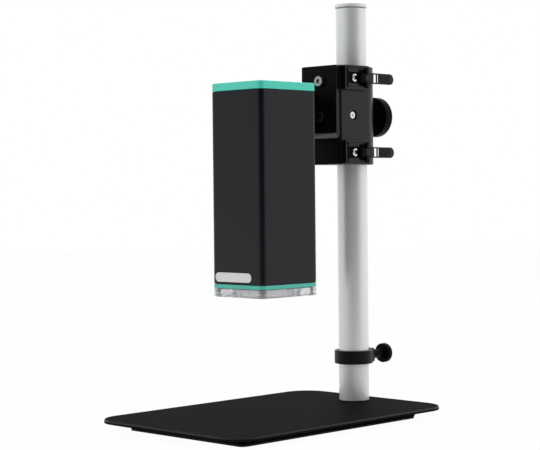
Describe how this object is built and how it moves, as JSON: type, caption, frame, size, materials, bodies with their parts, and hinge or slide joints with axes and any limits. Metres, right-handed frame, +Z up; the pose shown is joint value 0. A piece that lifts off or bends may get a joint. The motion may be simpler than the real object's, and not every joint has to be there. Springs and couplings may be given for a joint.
{
  "type": "digital microscope",
  "caption": "Boxy digital microscope held over a flat weighted base by a clamped sleeve on a round column, with a stop collar and side cable clips.",
  "frame": {"origin": "middle of the underside of the non-slip pad, on the surface that the stand rests on", "axes": "+Z up along the column; the microscope hangs in front of the column towards -Y; the cable clips are on the +X side; X is the short side of the base"},
  "size_m": [0.1354, 0.2131, 0.2822],
  "materials": {
    "powder_black": "fine black powder coat on steel",
    "anodised_black": "satin black anodised aluminium",
    "anodised_silver": "satin clear anodised aluminium",
    "plastic_black": "moulded black nylon",
    "plastic_teal": "satin teal moulding",
    "plastic_clear": "clear acrylic with a frosted inside",
    "label_white": "plain pale satin plate",
    "rubber": "matt black non-slip sheet",
    "steel": "bright zinc plated or stainless steel",
    "brass": "plain turned brass",
    "glass": "coated optical glass",
    "board_green": "green solder resist on a circuit board"
  },
  "bodies": {
    "stand": {"non_slip_pad": "rubber", "ballast_plate": "powder_black", "base_plate": "powder_black", "column_tube": "anodised_silver", "column_plug": "steel", "column_washer": "steel", "column_bolt": "steel", "column_top_cap": "anodised_silver"},
    "guides": {"lower_bush": "plastic_black", "upper_bush": "plastic_black"},
    "carriage": {"sleeve_block": "anodised_black", "side_grub_screw": "steel", "offset_bracket": "anodised_black", "bracket_screw_upper": "steel", "bracket_screw_lower": "steel", "head_screw_upper": "steel", "head_screw_lower": "steel", "upper_clip_base": "plastic_black", "upper_clip_strap": "plastic_black", "lower_clip_base": "plastic_black", "lower_clip_strap": "plastic_black", "housing": "anodised_black", "top_cap": "plastic_teal", "lower_ring": "plastic_teal", "light_ring": "plastic_clear", "ring_screw_1": "steel", "ring_screw_2": "steel", "ring_screw_3": "steel", "ring_screw_4": "steel", "label_plate": "label_white", "nut_plate": "steel", "led_board": "board_green", "optics_chassis": "anodised_black", "guide_rod": "steel", "sensor_plate": "anodised_black", "image_sensor": "glass", "sensor_board": "board_green", "main_board": "board_green", "focus_motor": "steel", "usb_socket": "steel"},
    "clamp_pad_body": {"clamp_pad": "brass"},
    "clamp_knob_body": {"clamp_screw": "steel", "clamp_knob": "plastic_black"},
    "collar": {"stop_collar": "anodised_black"},
    "collar_pad_body": {"collar_pad": "brass"},
    "thumb_knob_body": {"thumb_screw": "anodised_black", "thumb_knob": "plastic_black"},
    "focus_group": {"lens_barrel": "anodised_black", "front_lens": "glass", "rear_lens": "glass", "lens_retaining_ring": "anodised_black", "focus_arm": "anodised_black"},
    "focus_screw": {"lead_screw": "steel"}
  },
  "joints": [
    {"name": "carriage_height", "type": "slide", "parent": "stand", "child": "guides", "axis": [0, 0, 1], "range_m": [-0.075, 0.04]},
    {"name": "carriage_swivel", "type": "hinge", "parent": "guides", "child": "carriage", "pos_m": [0, 0.07835, 0.2051], "axis": [0, 0, 1], "continuous": true},
    {"name": "clamp_pad_travel", "type": "slide", "parent": "carriage", "child": "clamp_pad_body", "axis": [0, 1, 0], "range_m": [0, 0.0015]},
    {"name": "clamp_knob_turn", "type": "hinge", "parent": "clamp_pad_body", "child": "clamp_knob_body", "pos_m": [0, 0.07835, 0.2051], "axis": [0, 1, 0], "range_deg": [0, 540]},
    {"name": "collar_height", "type": "slide", "parent": "stand", "child": "collar", "axis": [0, 0, 1], "range_m": [-0.025, 0.05]},
    {"name": "collar_pad_travel", "type": "slide", "parent": "collar", "child": "collar_pad_body", "axis": [0, 1, 0], "range_m": [0, 0.00105]},
    {"name": "thumb_screw_turn", "type": "hinge", "parent": "collar_pad_body", "child": "thumb_knob_body", "pos_m": [0, 0.07835, 0.0385], "axis": [0, 1, 0], "range_deg": [0, 540]},
    {"name": "focus_travel", "type": "slide", "parent": "carriage", "child": "focus_group", "axis": [0, 0, 1], "range_m": [-0.0015, 0.0015]},
    {"name": "lead_screw_turn", "type": "hinge", "parent": "carriage", "child": "focus_screw", "pos_m": [0.0155, -0.00825, 0.12], "axis": [0, 0, -1], "range_deg": [-540, 540]}
  ],
  "couplings": [
    {"joint": "clamp_pad_travel", "follows": "clamp_knob_turn", "m_per_rad": 0.00015915},
    {"joint": "thumb_screw_turn", "follows": "collar_pad_travel", "rad_per_m": 8976},
    {"joint": "lead_screw_turn", "follows": "focus_travel", "rad_per_m": 6283.2}
  ]
}
